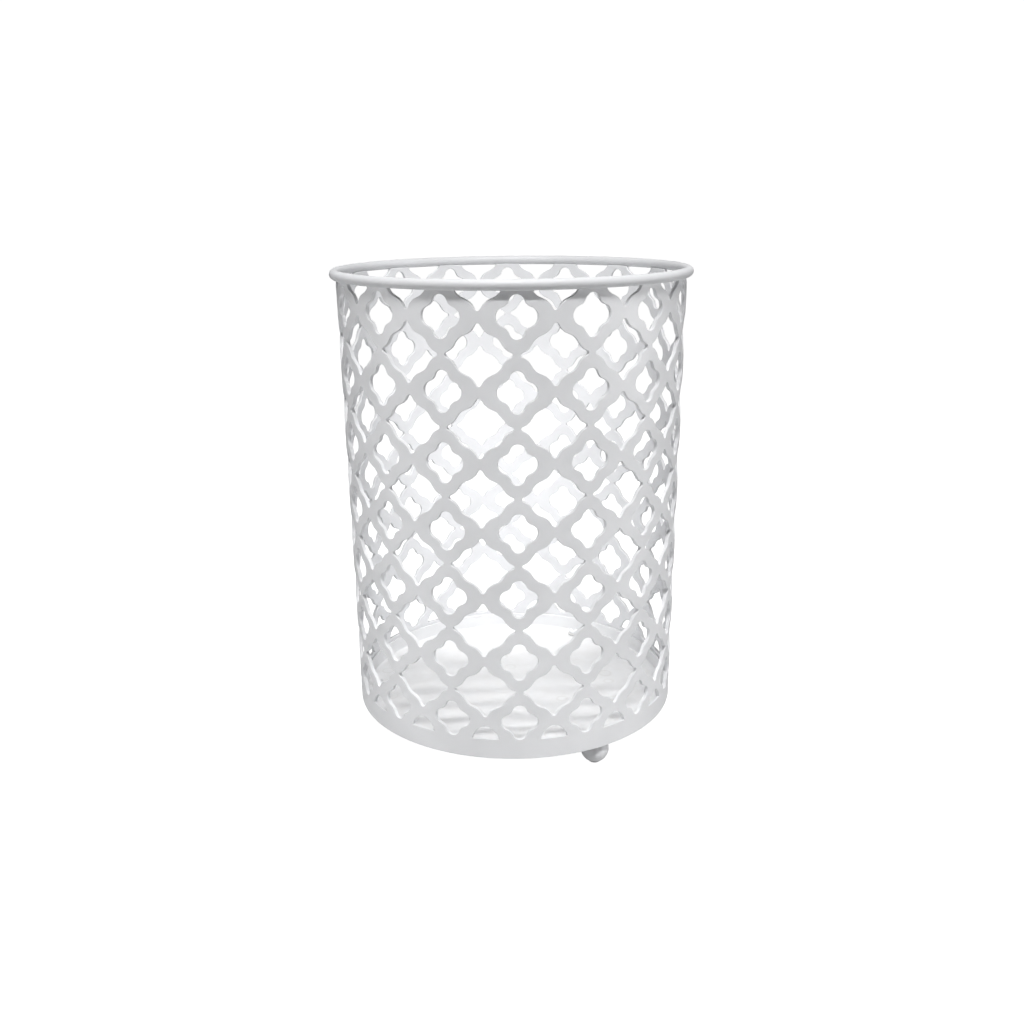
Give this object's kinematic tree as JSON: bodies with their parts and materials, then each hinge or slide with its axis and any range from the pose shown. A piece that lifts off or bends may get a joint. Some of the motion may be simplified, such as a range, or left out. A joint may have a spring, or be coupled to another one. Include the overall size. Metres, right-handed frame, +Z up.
{
  "type": "umbrella stand",
  "caption": "Round openwork metal umbrella stand: a rolled quatrefoil lattice with a wire rim, a shallow drip pan and ball feet.",
  "frame": {"origin": "on the ground, below the centre of the shell, at the middle of the underside of the bounding box", "axes": "+Z up along the shell's axis; -Y is the front, where a column of rings is centred; +X to the right seen from the front"},
  "size_m": [0.3, 0.3, 0.4041],
  "materials": {
    "shell_paint": "white powder coat, semi-matt, fine orange peel",
    "rim_paint": "white powder coat, semi-matt",
    "pan_paint": "white powder coat, semi-matt, light drip marks",
    "foot_paint": "white powder coat, semi-matt",
    "screw_enamel": "white baked enamel on steel",
    "seal_rubber": "matt white rubber",
    "pad_rubber": "matt pale rubber"
  },
  "bodies": {
    "root": {"lattice_shell": "shell_paint", "rim_ring": "rim_paint", "base_pan": "pan_paint", "ball_foot_1": "foot_paint", "ball_foot_2": "foot_paint", "ball_foot_3": "foot_paint", "foot_screw_1": "screw_enamel", "foot_screw_2": "screw_enamel", "foot_screw_3": "screw_enamel", "sealing_washer_1": "seal_rubber", "sealing_washer_2": "seal_rubber", "sealing_washer_3": "seal_rubber", "foot_pad_1": "pad_rubber", "foot_pad_2": "pad_rubber", "foot_pad_3": "pad_rubber"}
  },
  "joints": []
}
